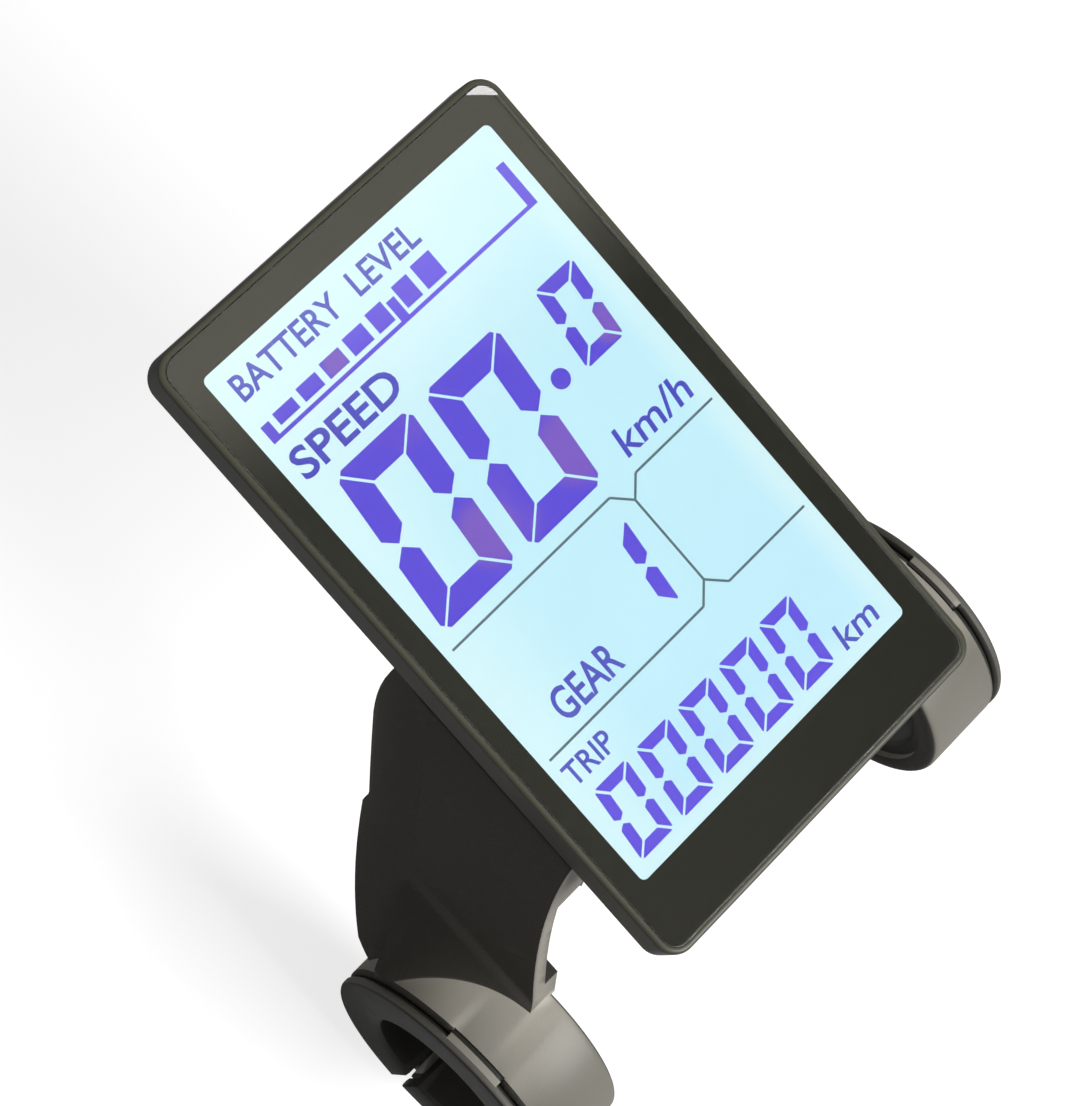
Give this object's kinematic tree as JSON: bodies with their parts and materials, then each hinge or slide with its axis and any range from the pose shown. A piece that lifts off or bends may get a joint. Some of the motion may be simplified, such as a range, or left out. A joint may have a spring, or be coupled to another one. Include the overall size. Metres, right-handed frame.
{
  "type": "e-bike display",
  "caption": "Flat handlebar display with a lit segment screen behind glass, on two moulded arms that end in split clamp rings with insert sleeves.",
  "frame": {"origin": "on the handlebar's axis, midway between the two clamp rings", "axes": "+X along the handlebar towards the display's right, +Y towards the display's top edge, +Z out of the glass"},
  "size_m": [0.1084, 0.1319, 0.0899],
  "materials": {
    "cover_glass": "clear hardened glass, glossy",
    "border_ink": "black printed border under glass",
    "tape": "black foam tape",
    "frame_plastic": "satin moulded frame, dark olive grey",
    "film": "polarizing film",
    "screen_glass": "thin screen glass",
    "screen_ink": "screen segments, violet blue",
    "screen_back": "lit screen background, pale cyan",
    "white_plastic": "white moulded plastic",
    "light_guide": "clear acrylic",
    "reflector": "silvered film",
    "lamp": "lamp package",
    "ribbon": "amber ribbon",
    "board": "green circuit board",
    "chip": "black chip package",
    "tin": "tinned can",
    "socket": "ivory socket plastic",
    "shell_plastic": "matt black moulded shell",
    "arm_plastic": "matt charcoal glass-filled plastic",
    "insert_rubber": "black hard rubber",
    "seal_rubber": "black silicone",
    "steel": "plated steel screws"
  },
  "bodies": {
    "display": {"cover_glass": "cover_glass", "border_mask": "border_ink", "glass_tape": "tape", "front_frame": "frame_plastic", "front_polarizer": "film", "lcd_front_glass": "screen_glass", "lcd_edge_seal": "tape", "lcd_segments": "screen_ink", "lcd_rear_glass": "screen_glass", "rear_polarizer": "screen_back", "diffuser_sheet": "white_plastic", "light_guide": "light_guide", "reflector_sheet": "reflector", "backlight_leds": "lamp", "backlight_frame": "white_plastic", "lcd_ribbon": "ribbon", "circuit_board": "board", "controller_chip": "chip", "driver_chip": "chip", "power_coil": "chip", "supply_capacitors": "tin", "ribbon_socket": "socket", "cable_socket": "socket", "board_screws": "steel", "case_seal": "seal_rubber", "rear_case": "shell_plastic", "case_screws": "steel", "cable_gland": "seal_rubber", "left_arm": "arm_plastic", "right_arm": "arm_plastic", "arm_screws": "steel", "left_insert": "insert_rubber", "right_insert": "insert_rubber", "left_clamp_nut": "steel", "right_clamp_nut": "steel"},
    "left_washer": {"left_clamp_washer": "steel"},
    "left_screw": {"left_clamp_screw": "steel"},
    "right_washer": {"right_clamp_washer": "steel"},
    "right_screw": {"right_clamp_screw": "steel"}
  },
  "joints": [
    {"name": "left_washer_slide", "type": "slide", "parent": "display", "child": "left_washer", "axis": [0, -1, 0], "range_m": [0, 0.0035]},
    {"name": "left_screw_turn", "type": "hinge", "parent": "left_washer", "child": "left_screw", "pos_m": [-0.04465, -0.008, -0.0247], "axis": [0, -1, 0], "range_deg": [0, 1805]},
    {"name": "right_washer_slide", "type": "slide", "parent": "display", "child": "right_washer", "axis": [0, -1, 0], "range_m": [0, 0.0035]},
    {"name": "right_screw_turn", "type": "hinge", "parent": "right_washer", "child": "right_screw", "pos_m": [0.04465, -0.008, -0.0247], "axis": [0, -1, 0], "range_deg": [0, 1805]}
  ],
  "couplings": [
    {"joint": "left_screw_turn", "follows": "left_washer_slide", "rad_per_m": 8976},
    {"joint": "right_screw_turn", "follows": "right_washer_slide", "rad_per_m": 8976}
  ]
}
